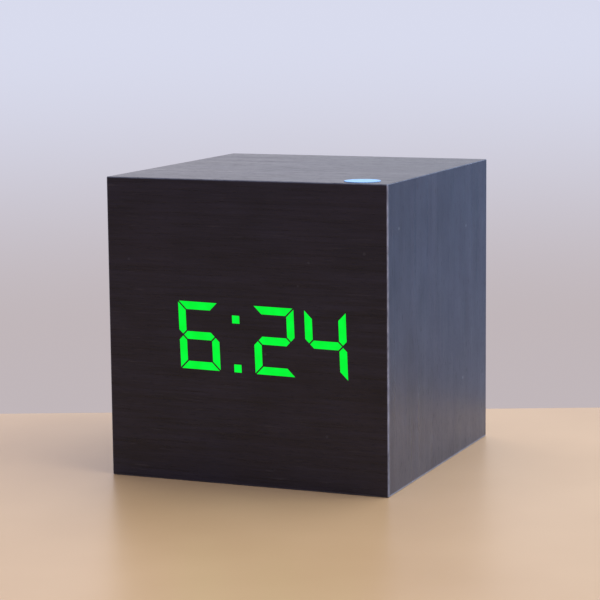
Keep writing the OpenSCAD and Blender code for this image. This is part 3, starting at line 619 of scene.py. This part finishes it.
EDGE_WIDTHS_MM = {
    0.30: ("corner_cleats", "tray_battens"),
    0.20: ("control_plate", "battery_tray", "battery_door", "set_button", "up_button", "down_button"),
    0.12: ("display_housing", "buzzer", "left_cell", "middle_cell", "right_cell", "smoothing_capacitor"),
    0.08: ("battery_header", "ribbon_headers", "display_board", "control_board", "clock_chip",
           "digit_drivers", "switch_bodies", "microphone", "timing_crystal"),
    0.05: ("rear_screws", "display_screws", "plate_screws", "control_screws", "tray_screws",
           "socket_shell", "switch_covers", "set_plunger", "up_plunger", "down_plunger"),
}
for width_mm, names in EDGE_WIDTHS_MM.items():
    for name in names:
        soften(name, width_mm)


# ---------------------------------------------------------------- floor


def level_sheet(name, corners, z, hole, material):
    """A level sheet with those corners, and a rectangular hole of those half widths."""
    half_x, half_y = hole
    hole_corners = [(-half_x, -half_y), (half_x, -half_y), (half_x, half_y), (-half_x, half_y)]
    shape = bmesh.new()
    outer = [shape.verts.new((x, y, z)) for x, y in corners]
    inner = [shape.verts.new((x, y, z)) for x, y in hole_corners]
    for i in range(4):
        j = (i + 1) % 4
        shape.faces.new([outer[i], outer[j], inner[j], inner[i]])
    mesh = bpy.data.meshes.new(name)
    shape.to_mesh(mesh)
    shape.free()
    made = bpy.data.objects.new(name, mesh)
    bpy.context.scene.collection.objects.link(made)
    mesh.materials.append(material)


def table():
    """A pale table top just under the clock, its back edge askew behind the clock.

    It has a hole under the base, so that the base can be seen from below.
    """
    reach, front_y = 0.9, -0.8
    back_y, back_slope = 0.0525, 0.42
    corners = [
        (-reach, front_y),
        (reach, front_y),
        (reach, back_y + back_slope * reach),
        (-reach, back_y - back_slope * reach),
    ]
    half_x, half_y = cad_box[1][0], cad_box[1][1]
    overlap, gap = 0.6 * MM, 0.02 * MM
    level_sheet("floor", corners, -gap, (half_x - overlap, half_y - overlap), floor_material())


table()


# ---------------------------------------------------------------- lights


def soft_light(name, place, aim, size, power, colour=(1, 1, 1)):
    """A broad lamp that the camera doesn't see, turned towards a point."""
    light = bpy.data.lights.new(name, "AREA")
    light.shape = "ELLIPSE"
    light.size, light.size_y = size
    light.energy = power
    light.color = colour
    lamp = bpy.data.objects.new(name, light)
    bpy.context.scene.collection.objects.link(lamp)
    lamp.location = place
    lamp.rotation_euler = (Vector(aim) - Vector(place)).to_track_quat("-Z", "Y").to_euler()
    lamp.visible_camera = False


def room_light():
    """A pale room: dim in front of the clock, bright behind it, and cooler towards the right.

    The camera sees a backdrop instead: pale blue above, and a pinkish grey near the table.
    """
    world = bpy.data.worlds.new("room")
    bpy.context.scene.world = world
    world.use_nodes = True
    tree = world.node_tree
    direction = tree.nodes.new("ShaderNodeSeparateXYZ")
    here = tree.nodes.new("ShaderNodeTexCoord").outputs["Generated"]
    tree.links.new(here, direction.inputs[0])

    def ramp(axis, *stops):
        """Colours met in turn as that part of the direction grows from stop to stop."""
        (start, colour), *rest = stops
        for end, following in rest:
            share = map_range(tree, direction.outputs[axis], start, end, smooth=True)
            colour = mix_colours(tree, share, colour, following)
            start = end
        return colour

    near_floor = (0.74, 0.73, 0.92)
    cool = (0.34, 0.48, 0.86)
    above_window = (0.9, 1.0, 1.3)
    back_left = (1.00, 0.97, 1.10)
    back = (0.82, 0.86, 1.02)
    in_front = (0.30, 0.28, 0.46)
    low_backdrop = (0.53, 0.47, 0.49)
    high_backdrop = (0.69, 0.71, 0.85)
    window = ramp("Y", (0.50, (1.0, 1.1, 1.4)), (0.85, (2.7, 3.3, 5.0)))
    right = ramp(
        "Z",
        (-0.22, near_floor),
        (-0.125, cool),
        (0.05, cool),
        (0.12, window),
        (0.22, window),
        (0.30, above_window),
    )
    behind = ramp("X", (-0.50, back_left), (-0.20, back), (0.33, right))
    light = ramp("Y", (-0.40, in_front), (0.70, behind))
    backdrop = ramp("Z", (-0.16, low_backdrop), (-0.02, high_backdrop))
    seen = tree.nodes.new("ShaderNodeLightPath").outputs["Is Camera Ray"]
    shown = mix_colours(tree, seen, light, backdrop)
    tree.links.new(shown, tree.nodes["Background"].inputs["Color"])


room_light()
soft_light("overhead", place=(0.1, 0.25, 0.9), aim=(0, 0, 0), size=(1.0, 1.0), power=4.5)
soft_light(
    "front_fill",
    place=(-0.3, -0.9, 0.8),
    aim=(0, -0.2, 0),
    size=(0.8, 0.8),
    power=0.6,
    colour=(0.8, 0.92, 1.0),
)
soft_light(
    "window",
    place=(0.85, 0.0, 0.85),
    aim=(0, 0, 0.03),
    size=(1.2, 0.9),
    power=8.5,
    colour=(0.88, 0.94, 1.0),
)


# ---------------------------------------------------------------- camera


def camera():
    """The photographer's place: to the clock's right, a little above it, with a long lens.

    It was found by fitting the clock's visible edges to those in the photo.
    """
    place = (0.1746, -0.4230, 0.1006)
    yaw, pitch, roll = (math.radians(degrees) for degrees in (22.558, 8.322, -0.549))
    ahead = Vector((-math.sin(yaw) * math.cos(pitch), math.cos(yaw) * math.cos(pitch), -math.sin(pitch)))
    level = Vector((math.cos(yaw), math.sin(yaw), 0))
    rise = level.cross(ahead)
    right = math.cos(roll) * level + math.sin(roll) * rise
    up = math.cos(roll) * rise - math.sin(roll) * level
    data = bpy.data.cameras.new("camera")
    data.sensor_width = 36
    data.lens = 129.96
    data.clip_start = 0.01
    data.clip_end = 20
    made = bpy.data.objects.new("camera", data)
    bpy.context.scene.collection.objects.link(made)
    turn = Matrix((right, up, -ahead)).transposed()
    made.matrix_world = Matrix.Translation(place) @ turn.to_4x4()
    bpy.context.scene.camera = made


camera()
bpy.context.scene.view_settings.view_transform = "Standard"
